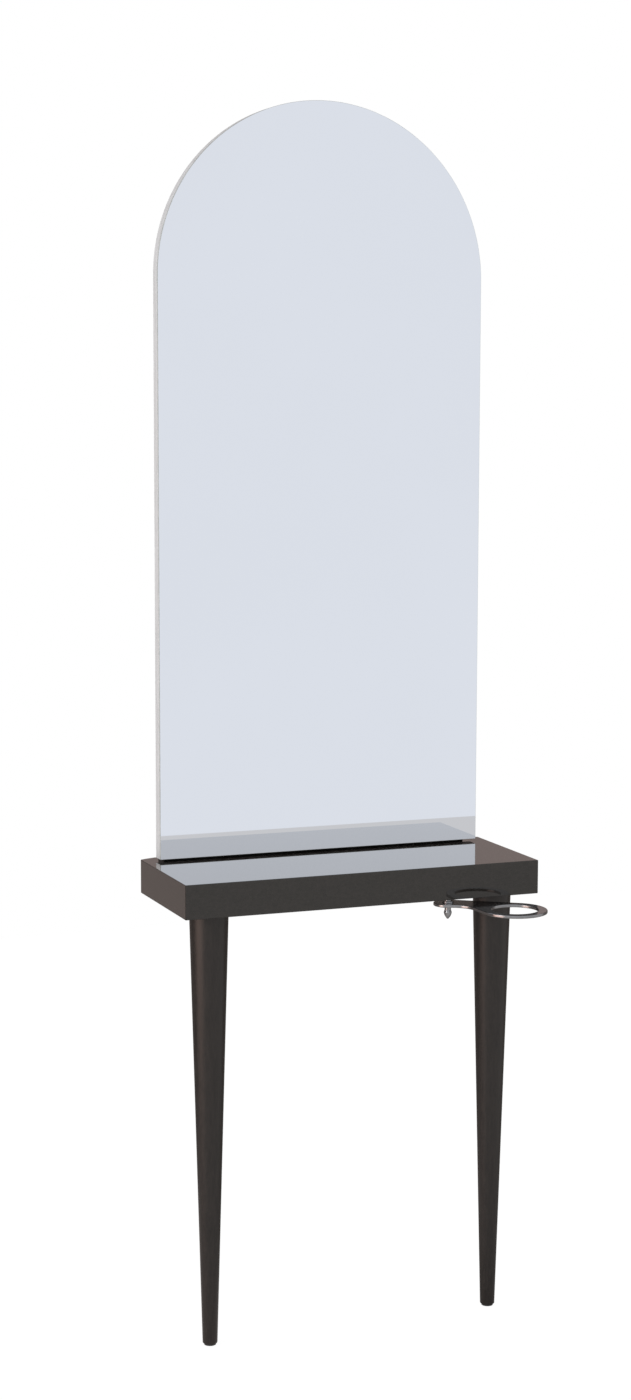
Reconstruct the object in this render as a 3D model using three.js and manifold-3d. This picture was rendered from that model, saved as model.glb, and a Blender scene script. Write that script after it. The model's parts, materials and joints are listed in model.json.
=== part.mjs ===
// Salon styling station: an arched mirror on a back frame, a hollow shelf box on two tapered legs,
// and a swivelling tool ring under the shelf.
// Millimetres, +Z up. The wall is the plane y = 0, the floor is z = 0 and the user stands at -Y.
import * as THREE from "three";
import { ConvexGeometry } from "three/addons/geometries/ConvexGeometry.js";
import { mergeVertices } from "three/addons/utils/BufferGeometryUtils.js";
import Module from "manifold-3d";

// Shelf box
const shelfWidth = 658;
const shelfDepth = 270;
const rearSweep = 18;
const rearCornerRadius = 162;
const shelfThickness = 60;
const shelfTopHeight = 830;
const panelThickness = 12;
const ribThickness = 16;
const legBlockReach = 42;
const holderBlockWidth = 64;
const holderBlockReach = 34;

// Wall ledger inside the open back of the box
const ledgerDepth = 32;
const ledgerEndClearance = 12;
const ledgerPlay = 0.6;
const ledgerScrewFromEnd = 44;

// Legs
const legInset = 62;
const legSetback = 60.5;
const legTopDiameter = 68;
const legBottomDiameter = 26;
const hangerBoltDiameter = 10;
const hangerBoltInLeg = 52;
const glideDiameter = 21;
const glideThickness = 3;
const glideStemDiameter = 6;
const glideStemLength = 14;

// Threaded inserts
const legInsertDiameter = 16;
const legInsertFlangeDiameter = 22;
const legInsertLength = 24;
const holderInsertDiameter = 12;
const holderInsertFlangeDiameter = 15;
const holderInsertLength = 20;
const insertFlangeThickness = 2;

// Arched mirror
const mirrorWidth = 609.6;
const mirrorHeight = 1321;
const mirrorGap = 4.6;
const glassThickness = 5;
const filmThickness = 0.5;
const filmInset = 1.5;
const boardThickness = 20;
const bandThickness = 1;

// Back frame and wall cleat
const frameDepth = 32.5;
const frameInset = 14;
const stileWidth = 45;
const railHeight = 60;
const cleatHeight = 45;
const cleatRelief = 2;
const cleatEndPlay = 12;
const dowelDiameter = 8;
const dowelLength = 40;
const boardScrewFromEnd = 70;
const shelfScrewFromEnd = 85;
const shelfScrewInRail = 28;

// Wood screws, all of one kind
const screwDiameter = 4.5;
const screwHeadDiameter = 9;
const screwHeadRim = 0.4;
const screwTipLength = 5;
const screwTipCover = 7;
const wallHoleDiameter = 6;
const wallHoleFromEnd = 80;

// Swivelling tool ring
const pivotFromEnd = 166;
const pivotSetback = 20.5;
const armDrop = 8;
const armThickness = 5.2;
const armLength = 127.5;
const armRestAngle = -49;
const armEndDiameter = 51;
const armFlankAngle = 36;
const armScoopRadius = 40;
const ringDiameter = 114;
const ringHoleDiameter = 81.5;
const studDiameter = 8;
const collarDiameter = 20;
const collarThickness = 2.5;
const collarHubDiameter = 12.5;
const collarHubHeight = 2;
const washerDiameter = 16;
const washerThickness = 1;
const finialNeckDiameter = 11.4;
const finialNeckLength = 6.6;
const finialShoulderHeight = 4.6;
const finialConeDiameter = 14.2;
const finialConeLength = 11.6;
const finialConeBulge = 1.1;
const finialTipDiameter = 2.6;
const finialBoreDepth = 11;

// Clearances
const glueLine = 0.2;
const fitClearance = 0.3;
const boltClearance = 0.6;
const runningGap = 0.25;
const cutterOverrun = 1;
const weldDistance = 1e-3;

// Facets
const archSegments = 64;
const cornerSegments = 10;
const ringSegments = 48;
const scoopSegments = 12;
const coneSegments = 6;
const legSegments = 40;
const hardwareSegments = 20;

// Levels and planes that several pieces share
const shelfFront = -shelfDepth;
const shelfHalf = shelfWidth / 2;
const shelfBottom = shelfTopHeight - shelfThickness;
const cavityBottom = shelfBottom + panelThickness;
const cavityTop = shelfTopHeight - panelThickness;
const railInnerFace = shelfFront + panelThickness;
const rearCornerRun = Math.sqrt(2 * rearCornerRadius * rearSweep - rearSweep ** 2);
const backHalf = shelfHalf - rearCornerRun;
const ledgerHalf = backHalf - ledgerEndClearance;
const legX = shelfHalf - legInset;
const legY = shelfFront + legSetback;
const pivotX = shelfHalf - pivotFromEnd;
const pivotY = shelfFront + pivotSetback;
const armTop = shelfBottom - armDrop;
const mirrorBottom = shelfTopHeight + mirrorGap;
const archCentre = mirrorBottom + mirrorHeight - mirrorWidth / 2;
const boardBack = -frameDepth;
const boardFront = boardBack - boardThickness;
const glassBack = boardFront - filmThickness;
const glassFront = glassBack - glassThickness;
const frameHalf = mirrorWidth / 2 - frameInset;
const stileInner = frameHalf - stileWidth;
const cleatHalf = stileInner - cleatEndPlay;
const boardScrewX = stileInner - boardScrewFromEnd;
const shelfScrewX = frameHalf - shelfScrewFromEnd;
const bottomRailTop = shelfTopHeight + railHeight;
const hookLevel = archCentre - railHeight;
const midRailBottom = (bottomRailTop + hookLevel - railHeight) / 2;
const railLevels = {
  bottom: shelfTopHeight + railHeight / 2,
  mid: midRailBottom + railHeight / 2,
  top: hookLevel + railHeight / 2,
};
const sides = { left: -1, right: 1 };

const wasm = await Module();
wasm.setup();

function finish(color, roughness, metalness) {
  return new THREE.MeshStandardMaterial({ color, roughness, metalness });
}

const materials = {
  laminate: finish(0x3b3634, 0.25, 0),
  leg: finish(0x332e2c, 0.3, 0),
  timber: finish(0xb89a72, 0.8, 0),
  blackPaint: finish(0x2c2b2b, 0.7, 0),
  glass: finish(0xdbdfe6, 0.03, 1),
  film: finish(0x8d9094, 0.6, 0),
  board: finish(0xb9a98f, 0.85, 0),
  band: finish(0xd0d0d1, 0.5, 0),
  chrome: finish(0xaaabad, 0.12, 1),
  steel: finish(0x8f9296, 0.35, 1),
  nylon: finish(0x242424, 0.6, 0),
};

// A closed mesh as a solid that can be cut, and back again.
function toSolid(geometry) {
  const bare = geometry.clone();
  bare.deleteAttribute("normal");
  bare.deleteAttribute("uv");
  const merged = mergeVertices(bare, weldDistance);
  return new wasm.Manifold(
    new wasm.Mesh({
      numProp: 3,
      vertProperties: merged.attributes.position.array,
      triVerts: new Uint32Array(merged.index.array),
    }),
  );
}

function cut(geometry, tools) {
  const left = tools.reduce((solid, tool) => solid.subtract(toSolid(tool)), toSolid(geometry));
  const mesh = left.getMesh();
  const made = new THREE.BufferGeometry();
  made.setAttribute("position", new THREE.BufferAttribute(mesh.vertProperties, 3));
  made.setIndex(new THREE.BufferAttribute(mesh.triVerts, 1));
  made.computeVertexNormals();
  return made;
}

function place(geometry, x, y, z) {
  return geometry.clone().translate(x, y, z);
}

// A block between two corners.
function block([x0, y0, z0], [x1, y1, z1]) {
  const box = new THREE.BoxGeometry(x1 - x0, y1 - y0, z1 - z0);
  return box.translate((x0 + x1) / 2, (y0 + y1) / 2, (z0 + z1) / 2);
}

// A solid of revolution about Z, from [radius, height] pairs that run up its outside.
function turned(profile, segments) {
  const points = profile.map(([radius, height]) => new THREE.Vector2(radius, height));
  return new THREE.LatheGeometry(points, segments).rotateX(Math.PI / 2);
}

function rod(diameter, bottom, top, segments = hardwareSegments) {
  const radius = diameter / 2;
  return turned([[0, bottom], [radius, bottom], [radius, top], [0, top]], segments);
}

function extruded(points, holes, depth) {
  const shape = new THREE.Shape(points);
  shape.holes = holes.map((hole) => new THREE.Path(hole));
  return new THREE.ExtrudeGeometry(shape, { depth, bevelEnabled: false });
}

const xAxis = new THREE.Vector3(1, 0, 0);
const yAxis = new THREE.Vector3(0, 1, 0);
const zAxis = new THREE.Vector3(0, 0, 1);

// Outlines drawn in plan, in the wall's plane (x, z) or in section (y, z).
function standing(points, low, high, holes = []) {
  return extruded(points, holes, high - low).translate(0, 0, low);
}

function facing(points, front, back, holes = []) {
  const turn = new THREE.Matrix4().makeBasis(xAxis, zAxis, yAxis.clone().negate());
  return extruded(points, holes, back - front).applyMatrix4(turn).translate(0, back, 0);
}

function lying(points, left, right) {
  const turn = new THREE.Matrix4().makeBasis(yAxis, zAxis, xAxis);
  return extruded(points, [], right - left).applyMatrix4(turn).translate(left, 0, 0);
}

function arc(x, y, radius, from, to, segments) {
  return Array.from({ length: segments + 1 }, (_, step) => {
    const angle = from + ((to - from) * step) / segments;
    return new THREE.Vector2(x + radius * Math.cos(angle), y + radius * Math.sin(angle));
  });
}

function circle(x, y, radius, segments) {
  return arc(x, y, radius, 0, 2 * Math.PI, segments).slice(0, segments);
}

function outline(...points) {
  return points.map(([x, y]) => new THREE.Vector2(x, y));
}

// Countersunk wood screw with its head's face at z = 0, driven towards +Z, and the hole it sits in.
function screw(length, room = 0) {
  const shank = screwDiameter / 2 + room;
  const head = screwHeadDiameter / 2 + room;
  const headHeight = (screwHeadDiameter - screwDiameter) / 2;
  return turned(
    [
      [0, -room],
      [head, -room],
      [head, screwHeadRim],
      [shank, screwHeadRim + headHeight],
      [shank, length - screwTipLength + room],
      [0, length + room],
    ],
    hardwareSegments,
  );
}

function screwHole(length) {
  return screw(length, fitClearance);
}

function towardsFront(geometry) {
  return geometry.clone().rotateX(Math.PI / 2);
}

function alongX(geometry) {
  return geometry.clone().rotateY(Math.PI / 2);
}

function placedAt(places, geometry, level) {
  return places.map(([x, y]) => place(geometry, x, y, level));
}

function addPiece(group, name, geometry, material) {
  const mesh = new THREE.Mesh(geometry, material);
  mesh.name = name;
  group.add(mesh);
  return mesh;
}

// Fastener places that two or more pieces share.
const ledgerScrewLength = cavityTop - shelfBottom - screwTipCover;
const ledgerScrewX = ledgerHalf - ledgerScrewFromEnd;
const ledgerScrewPlaces = [-1, 0, 1].map((side) => [side * ledgerScrewX, -ledgerDepth / 2]);
const ledgerScrewHoles = placedAt(ledgerScrewPlaces, screwHole(ledgerScrewLength), shelfBottom);
const boardScrewLength = frameDepth + boardThickness - screwTipCover;
const shelfScrewLength = panelThickness + shelfScrewInRail;
const shelfScrewPlaces = [-1, 1].map((side) => [side * shelfScrewX, -frameDepth / 2]);
const shelfScrewHoles = placedAt(shelfScrewPlaces, screwHole(shelfScrewLength), cavityTop);
const dowelHole = rod(
  dowelDiameter + 2 * fitClearance,
  -dowelLength / 2 - fitClearance,
  dowelLength / 2 + fitClearance,
);
const stileFootDowels = Object.values(sides).map((sign) =>
  place(dowelHole, sign * (frameHalf - stileWidth / 2), -frameDepth / 2, bottomRailTop),
);

function railDowelHoles(level) {
  return Object.values(sides).map((sign) =>
    place(alongX(dowelHole), sign * stileInner, -frameDepth / 2, level),
  );
}

function boardScrewHoles(level) {
  const hole = towardsFront(screwHole(boardScrewLength));
  return Object.values(sides).map((sign) => place(hole, sign * boardScrewX, 0, level));
}

function wallHoles(half, level, depth) {
  const hole = towardsFront(rod(wallHoleDiameter, -cutterOverrun, depth + cutterOverrun));
  const x = half - wallHoleFromEnd;
  return Object.values(sides).map((sign) => place(hole, sign * x, 0, level));
}

// Plan of the shelf: square front corners, and rear corners that sweep back to the wall.
function shelfPlan() {
  const sweep = Math.asin(rearCornerRun / rearCornerRadius);
  const quarter = Math.PI / 2;
  const corner = (x, from, to) => arc(x, -rearCornerRadius, rearCornerRadius, from, to, cornerSegments);
  const right = corner(backHalf, quarter - sweep, quarter);
  const left = corner(-backHalf, quarter, quarter + sweep);
  return [...outline([-shelfHalf, shelfFront], [shelfHalf, shelfFront]), ...right, ...left];
}

// Wedges that mitre a panel's front edge and ends, from its outer face at one level to its inner face.
function mitreWedges(outer, inner) {
  const spare = (outer - inner) / 2;
  const reach = Math.abs(spare);
  const section = (edge, inwards) =>
    outline(
      [edge - inwards * reach, outer + spare],
      [edge + inwards * (panelThickness + reach), inner - spare],
      [edge - inwards * reach, inner - spare],
    );
  const front = lying(section(shelfFront, 1), -shelfWidth, shelfWidth);
  const ends = Object.values(sides).map((sign) =>
    facing(section(sign * shelfHalf, -sign), shelfFront - shelfDepth, shelfDepth),
  );
  return [front, ...ends];
}

function mitredPanel(outer, inner) {
  const panel = standing(shelfPlan(), Math.min(outer, inner), Math.max(outer, inner));
  return cut(panel, mitreWedges(outer, inner));
}

// A rail of the box, mitred at top and bottom, from its outer and inner faces' corners.
function mitredRail(outerCorners, innerCorners) {
  const low = shelfBottom + glueLine;
  const high = shelfTopHeight - glueLine;
  const points = [];
  for (const [x, y] of outerCorners) {
    points.push(new THREE.Vector3(x, y, low), new THREE.Vector3(x, y, high));
  }
  for (const [x, y] of innerCorners) {
    points.push(new THREE.Vector3(x, y, low + panelThickness));
    points.push(new THREE.Vector3(x, y, high - panelThickness));
  }
  return new ConvexGeometry(points);
}

function shelfBox() {
  const group = new THREE.Group();
  const frontOuter = shelfHalf - glueLine;
  const frontInner = shelfHalf - panelThickness - glueLine;
  const throughHole = (diameter) =>
    rod(diameter + 2 * boltClearance, shelfBottom - cutterOverrun, cavityBottom + cutterOverrun);
  const legHoles = Object.values(sides).map((sign) =>
    place(throughHole(hangerBoltDiameter), sign * legX, legY, 0),
  );
  const studHole = place(throughHole(studDiameter), pivotX, pivotY, 0);

  addPiece(
    group,
    "shelf_top_panel",
    cut(mitredPanel(shelfTopHeight, cavityTop), shelfScrewHoles),
    materials.laminate,
  );
  addPiece(
    group,
    "shelf_bottom_panel",
    cut(mitredPanel(shelfBottom, cavityBottom), [...ledgerScrewHoles, ...legHoles, studHole]),
    materials.laminate,
  );
  addPiece(
    group,
    "shelf_front_rail",
    mitredRail(
      [[-frontOuter, shelfFront], [frontOuter, shelfFront]],
      [[-frontInner, railInnerFace], [frontInner, railInnerFace]],
    ),
    materials.laminate,
  );
  for (const [side, sign] of Object.entries(sides)) {
    const inner = sign * (shelfHalf - panelThickness);
    addPiece(
      group,
      `shelf_${side}_end_rail`,
      mitredRail(
        [[sign * shelfHalf, shelfFront + glueLine], [sign * shelfHalf, -rearSweep]],
        [[inner, railInnerFace + glueLine], [inner, -rearSweep]],
      ),
      materials.laminate,
    );
  }
  addPiece(
    group,
    "shelf_centre_rib",
    block(
      [-ribThickness / 2, railInnerFace + glueLine, cavityBottom],
      [ribThickness / 2, -ledgerDepth - glueLine, cavityTop],
    ),
    materials.timber,
  );
  const ledgerMiddle = (cavityBottom + ledgerPlay + cavityTop) / 2;
  addPiece(
    group,
    "wall_ledger",
    cut(
      block([-ledgerHalf, -ledgerDepth, cavityBottom + ledgerPlay], [ledgerHalf, 0, cavityTop]),
      [...ledgerScrewHoles, ...wallHoles(ledgerHalf, ledgerMiddle, ledgerDepth)],
    ),
    materials.timber,
  );
  ledgerScrewPlaces.forEach(([x, y], index) => {
    const fixing = addPiece(group, `ledger_screw_${index + 1}`, screw(ledgerScrewLength), materials.steel);
    fixing.position.set(x, y, shelfBottom);
  });
  return group;
}

// Flanged sleeve with its flange at z = 0, and the stepped hole that it is driven into.
function insert(bore, outer, flange, length) {
  const inside = bore / 2;
  return turned(
    [
      [inside, 0],
      [flange / 2, 0],
      [flange / 2, insertFlangeThickness],
      [outer / 2, insertFlangeThickness],
      [outer / 2, length],
      [inside, length],
      [inside, 0],
    ],
    hardwareSegments,
  );
}

function insertHole(outer, flange, length) {
  const wide = flange / 2 + fitClearance;
  const narrow = outer / 2 + fitClearance;
  const step = insertFlangeThickness + fitClearance;
  const roof = length + fitClearance;
  return turned(
    [
      [0, -cutterOverrun],
      [wide, -cutterOverrun],
      [wide, step],
      [narrow, step],
      [narrow, roof],
      [0, roof],
    ],
    hardwareSegments,
  );
}

function leg(side, sign) {
  const group = new THREE.Group();
  group.position.set(sign * legX, legY, 0);
  const boreRadius = hangerBoltDiameter / 2 + fitClearance;
  const stemRadius = glideStemDiameter / 2 + fitClearance;
  const boreFloor = shelfBottom - hangerBoltInLeg - fitClearance;
  const stemRoof = glideThickness + glideStemLength + fitClearance;
  addPiece(
    group,
    `${side}_leg`,
    turned(
      [
        [0, stemRoof],
        [stemRadius, stemRoof],
        [stemRadius, glideThickness],
        [legBottomDiameter / 2, glideThickness],
        [legTopDiameter / 2, shelfBottom],
        [boreRadius, shelfBottom],
        [boreRadius, boreFloor],
        [0, boreFloor],
      ],
      legSegments,
    ),
    materials.leg,
  );
  const boltRadius = hangerBoltDiameter / 2;
  const boltFoot = shelfBottom - hangerBoltInLeg;
  const boltHead = cavityBottom + legInsertLength;
  addPiece(
    group,
    `${side}_hanger_bolt`,
    turned(
      [[0, boltFoot], [boltRadius, boltFoot + hangerBoltDiameter], [boltRadius, boltHead], [0, boltHead]],
      hardwareSegments,
    ),
    materials.steel,
  );
  const sleeve = addPiece(
    group,
    `${side}_leg_insert`,
    insert(2 * boreRadius, legInsertDiameter, legInsertFlangeDiameter, legInsertLength),
    materials.steel,
  );
  sleeve.position.z = cavityBottom;
  const stem = glideStemDiameter / 2;
  const pad = glideDiameter / 2;
  addPiece(
    group,
    `${side}_foot_glide`,
    turned(
      [
        [0, 0],
        [pad, 0],
        [pad, glideThickness],
        [stem, glideThickness],
        [stem, glideThickness + glideStemLength],
        [0, glideThickness + glideStemLength],
      ],
      hardwareSegments,
    ),
    materials.nylon,
  );
  const hole = insertHole(legInsertDiameter, legInsertFlangeDiameter, legInsertLength);
  const blockInner = sign * (legX - legBlockReach);
  const blockOuter = sign * (shelfHalf - panelThickness - glueLine);
  const corner = addPiece(
    group,
    `${side}_leg_block`,
    cut(
      block(
        [Math.min(blockInner, blockOuter), railInnerFace + glueLine, cavityBottom],
        [Math.max(blockInner, blockOuter), legY + legBlockReach, cavityTop],
      ),
      [place(hole, sign * legX, legY, cavityBottom)],
    ),
    materials.timber,
  );
  corner.position.set(-sign * legX, -legY, 0);
  return group;
}

// Arch in the wall's plane, drawn in from the mirror's outline by an inset.
function archOutline(inset) {
  const half = mirrorWidth / 2 - inset;
  return [
    ...outline([-half, mirrorBottom + inset], [half, mirrorBottom + inset]),
    ...arc(0, archCentre, half, 0, Math.PI, archSegments),
  ];
}

function mirror() {
  const group = new THREE.Group();
  const screwHoles = Object.values(railLevels).flatMap(boardScrewHoles);
  addPiece(group, "mirror_glass", facing(archOutline(0), glassFront, glassBack), materials.glass);
  addPiece(
    group,
    "mirror_safety_film",
    facing(archOutline(filmInset), glassBack, boardFront),
    materials.film,
  );
  addPiece(
    group,
    "mirror_board",
    cut(facing(archOutline(bandThickness + glueLine), boardFront, boardBack), screwHoles),
    materials.board,
  );
  addPiece(
    group,
    "mirror_edge_band",
    facing(archOutline(0), boardFront, boardBack, [archOutline(bandThickness)]),
    materials.band,
  );
  return group;
}

function backFrame() {
  const group = new THREE.Group();
  addPiece(
    group,
    "frame_bottom_rail",
    cut(
      block([-frameHalf, boardBack, shelfTopHeight], [frameHalf, 0, bottomRailTop]),
      [...shelfScrewHoles, ...stileFootDowels, ...boardScrewHoles(railLevels.bottom)],
    ),
    materials.blackPaint,
  );
  addPiece(
    group,
    "frame_mid_rail",
    cut(
      block([-stileInner, boardBack, midRailBottom], [stileInner, 0, midRailBottom + railHeight]),
      [...railDowelHoles(railLevels.mid), ...boardScrewHoles(railLevels.mid)],
    ),
    materials.blackPaint,
  );
  const hooked = outline(
    [boardBack, hookLevel],
    [0, hookLevel - frameDepth],
    [0, archCentre],
    [boardBack, archCentre],
  );
  addPiece(
    group,
    "frame_top_rail",
    cut(lying(hooked, -stileInner, stileInner), [
      ...railDowelHoles(railLevels.top),
      ...boardScrewHoles(railLevels.top),
    ]),
    materials.blackPaint,
  );
  for (const [side, sign] of Object.entries(sides)) {
    const edges = [sign * stileInner, sign * frameHalf].sort((a, b) => a - b);
    addPiece(
      group,
      `frame_${side}_stile`,
      cut(
        block([edges[0], boardBack, bottomRailTop], [edges[1], 0, archCentre]),
        [...stileFootDowels, ...railDowelHoles(railLevels.mid), ...railDowelHoles(railLevels.top)],
      ),
      materials.blackPaint,
    );
    const dowel = rod(dowelDiameter, -dowelLength / 2, dowelLength / 2);
    const foot = addPiece(group, `frame_${side}_foot_dowel`, dowel, materials.timber);
    foot.position.set(sign * (frameHalf - stileWidth / 2), -frameDepth / 2, bottomRailTop);
    for (const name of ["mid", "top"]) {
      const peg = addPiece(group, `frame_${side}_${name}_dowel`, alongX(dowel), materials.timber);
      peg.position.set(sign * stileInner, -frameDepth / 2, railLevels[name]);
    }
    for (const [name, level] of Object.entries(railLevels)) {
      const fixing = towardsFront(screw(boardScrewLength));
      const piece = addPiece(group, `board_screw_${side}_${name}`, fixing, materials.steel);
      piece.position.set(sign * boardScrewX, 0, level);
    }
    const fixing = addPiece(group, `shelf_screw_${side}`, screw(shelfScrewLength), materials.steel);
    fixing.position.set(sign * shelfScrewX, -frameDepth / 2, cavityTop);
  }
  const cleatFace = boardBack + cleatRelief;
  const cleatTop = hookLevel - fitClearance * Math.SQRT2;
  const cleatFoot = hookLevel - frameDepth - cleatHeight;
  const cleat = outline(
    [cleatFace, cleatFoot],
    [0, cleatFoot],
    [0, cleatTop - frameDepth],
    [cleatFace, cleatTop - cleatRelief],
  );
  addPiece(
    group,
    "wall_cleat",
    cut(lying(cleat, -cleatHalf, cleatHalf), wallHoles(cleatHalf, cleatFoot + cleatHeight / 2, frameDepth)),
    materials.timber,
  );
  return group;
}

// Plan of the arm, pivot at the origin and ring centre on +X. Its rear flank runs straight from the pivot
// disc to the ring; its front flank leaves the ring at an angle and is scooped into the disc.
function armPlan() {
  const { PI } = Math;
  const end = armEndDiameter / 2;
  const ring = ringDiameter / 2;
  const rear = Math.asin((ring - end) / armLength);
  const flank = THREE.MathUtils.degToRad(armFlankAngle);
  const toScoop = ring - armLength * Math.sin(flank) + armScoopRadius;
  const reach = Math.sqrt((end + armScoopRadius) ** 2 - toScoop ** 2);
  const scoopX = reach * Math.cos(flank) - toScoop * Math.sin(flank);
  const scoopY = -reach * Math.sin(flank) - toScoop * Math.cos(flank);
  const scoopAngle = Math.atan2(scoopY, scoopX);
  return [
    ...arc(armLength, 0, ring, -PI / 2 - flank, PI / 2 + rear, ringSegments),
    ...arc(0, 0, end, PI / 2 + rear, 2 * PI + scoopAngle, ringSegments / 2),
    ...arc(scoopX, scoopY, armScoopRadius, PI + scoopAngle, PI / 2 - flank, scoopSegments).slice(1),
  ];
}

function toolHolder() {
  const group = new THREE.Group();
  group.position.set(pivotX, pivotY, armTop);
  const bore = studDiameter / 2 + fitClearance;
  const holes = [
    circle(0, 0, bore, hardwareSegments),
    circle(armLength, 0, ringHoleDiameter / 2, ringSegments),
  ];
  const arm = addPiece(group, "holder_arm", standing(armPlan(), -armThickness, 0, holes), materials.chrome);
  arm.rotation.z = THREE.MathUtils.degToRad(armRestAngle);

  const rim = collarDiameter / 2;
  const hub = collarHubDiameter / 2;
  const rimTop = runningGap + collarThickness;
  addPiece(
    group,
    "holder_collar",
    turned(
      [
        [bore, runningGap],
        [rim, runningGap],
        [rim, rimTop],
        [hub, rimTop],
        [hub, rimTop + collarHubHeight],
        [bore, rimTop + collarHubHeight],
        [bore, runningGap],
      ],
      hardwareSegments,
    ),
    materials.chrome,
  );
  const washerTop = -armThickness - runningGap;
  const washerFoot = washerTop - washerThickness;
  addPiece(
    group,
    "holder_washer",
    turned(
      [
        [bore, washerFoot],
        [washerDiameter / 2, washerFoot],
        [washerDiameter / 2, washerTop],
        [bore, washerTop],
        [bore, washerFoot],
      ],
      hardwareSegments,
    ),
    materials.nylon,
  );
  const neckFoot = washerFoot - finialNeckLength;
  const coneShoulder = neckFoot - finialShoulderHeight;
  const tip = coneShoulder - finialConeLength;
  const { lerp } = THREE.MathUtils;
  const cone = Array.from({ length: coneSegments + 1 }, (_, step) => {
    const share = step / coneSegments;
    const straight = lerp(finialTipDiameter, finialConeDiameter, share) / 2;
    return [straight + finialConeBulge * Math.sin(Math.PI * share), lerp(tip, coneShoulder, share)];
  });
  addPiece(
    group,
    "holder_finial",
    turned(
      [
        [0, tip],
        ...cone,
        [finialNeckDiameter / 2, neckFoot],
        [finialNeckDiameter / 2, washerFoot],
        [bore, washerFoot],
        [bore, washerFoot - finialBoreDepth],
        [0, washerFoot - finialBoreDepth],
      ],
      hardwareSegments,
    ),
    materials.chrome,
  );
  const insertFoot = armDrop + panelThickness;
  const studFoot = washerFoot - finialBoreDepth + fitClearance;
  const studTop = insertFoot + holderInsertLength;
  addPiece(group, "holder_stud", rod(studDiameter, studFoot, studTop), materials.chrome);
  const sleeve = addPiece(
    group,
    "holder_insert",
    insert(2 * bore, holderInsertDiameter, holderInsertFlangeDiameter, holderInsertLength),
    materials.steel,
  );
  sleeve.position.z = insertFoot;
  const hole = insertHole(holderInsertDiameter, holderInsertFlangeDiameter, holderInsertLength);
  const half = holderBlockWidth / 2;
  const blockFront = railInnerFace + glueLine - pivotY;
  const blockTop = insertFoot + cavityTop - cavityBottom;
  addPiece(
    group,
    "holder_block",
    cut(
      block([-half, blockFront, insertFoot], [half, holderBlockReach, blockTop]),
      [place(hole, 0, 0, insertFoot)],
    ),
    materials.timber,
  );
  return group;
}

const station = new THREE.Group();
const legs = Object.entries(sides).map(([side, sign]) => leg(side, sign));
station.add(shelfBox(), ...legs, mirror(), backFrame(), toolHolder());

export default station;
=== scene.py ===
import json
import math

import bmesh
import bpy
from mathutils import Matrix, Vector


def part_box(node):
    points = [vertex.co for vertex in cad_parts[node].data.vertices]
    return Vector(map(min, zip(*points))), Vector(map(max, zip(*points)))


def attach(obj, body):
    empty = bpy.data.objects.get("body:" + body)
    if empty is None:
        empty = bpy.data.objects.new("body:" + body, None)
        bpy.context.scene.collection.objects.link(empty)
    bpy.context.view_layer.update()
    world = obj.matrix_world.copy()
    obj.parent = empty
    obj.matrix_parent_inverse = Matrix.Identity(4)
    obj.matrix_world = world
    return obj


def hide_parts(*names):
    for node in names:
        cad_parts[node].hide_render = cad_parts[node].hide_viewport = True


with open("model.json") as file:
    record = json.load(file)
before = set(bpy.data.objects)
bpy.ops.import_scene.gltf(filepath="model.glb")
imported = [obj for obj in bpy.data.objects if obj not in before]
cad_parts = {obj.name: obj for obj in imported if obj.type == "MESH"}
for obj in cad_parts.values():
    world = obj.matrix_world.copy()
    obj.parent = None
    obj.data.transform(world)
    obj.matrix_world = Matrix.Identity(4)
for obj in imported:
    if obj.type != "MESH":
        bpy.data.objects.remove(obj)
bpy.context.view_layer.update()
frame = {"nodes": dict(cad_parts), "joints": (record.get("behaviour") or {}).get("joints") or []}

# Camera: the photograph's viewing angle, in metres, degrees and millimetres
CAMERA_PLACE = (-1.602, -4.132, 1.635)
CAMERA_YAW = 21.307
CAMERA_PITCH = 6.9
CAMERA_ROLL = 0.138
CAMERA_LENS = 63.345
CAMERA_SENSOR = 36.0

# Floor: its size in metres, and the glow it shows only in reflections over ranges in metres: a pale tone
# in front, painted shade behind, and a painted warm glow to the left
FLOOR_FRONT = -4.763
FLOOR_BACK = 3.1
FLOOR_HALF_WIDTH = 40.0
FLOOR_COLOUR = (0.80, 0.775, 0.755)
FLOOR_WHITE_SHARE = 0.9
FLOOR_WHITE_STRENGTH = 1.06
FLOOR_FRONT_LOOK = (0.77, 0.744, 0.724)
# Painted shade: the floor glows darker behind the station, seen only in reflections
FLOOR_REAR_PAINTED_SHADE = (0.16, 0.137, 0.122)
# Painted light: a warm glow on the floor to the left, seen only in reflections, that puts a painted
# highlight down the legs
FLOOR_LEFT_PAINTED_GLOW = (0.6, 0.53, 0.5)
FLOOR_REAR_RANGE = (-0.9, 0.2)
FLOOR_PAINTED_GLOW_X_RANGE = (-0.15, 0.2)
FLOOR_PAINTED_GLOW_Y_RANGE = (0.3, 0.7)

# World: its soft light, and its glows in reflections over ranges of a direction
WHITE = (1.0, 1.0, 1.0)
SOFT_LIGHT = (0.78, 0.78, 0.79)
FRONT_GLOW = (0.945, 0.945, 0.963)
BACK_HIGH_GLOW = (0.266, 0.217, 0.205)
BACK_LEFT_GLOW = (0.43, 0.355, 0.33)
BACK_RIGHT_GLOW = (0.26, 0.21, 0.185)
BEHIND_RANGE = (-0.05, 0.35)
RAISED_RANGE = (0.0, 0.14)
RIGHTWARD_RANGE = (-0.25, 0.15)

# Lamps: places and sizes in metres, and powers in watts
KEY_PLACE = (-4.0, -1.2, 2.2)
KEY_AIM = (0.0, -0.1, 0.95)
KEY_SIZE = (1.6, 1.6)
KEY_POWER = 38.0
SHEEN_PLACE = (-2.5, -0.62, 0.75)
SHEEN_AIM = (0.0, -0.2, 0.5)
SHEEN_SIZE = (1.9, 1.5)
SHEEN_POWER = 22.0
SHEEN_COLOUR = (1.0, 0.66, 0.54)

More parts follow.
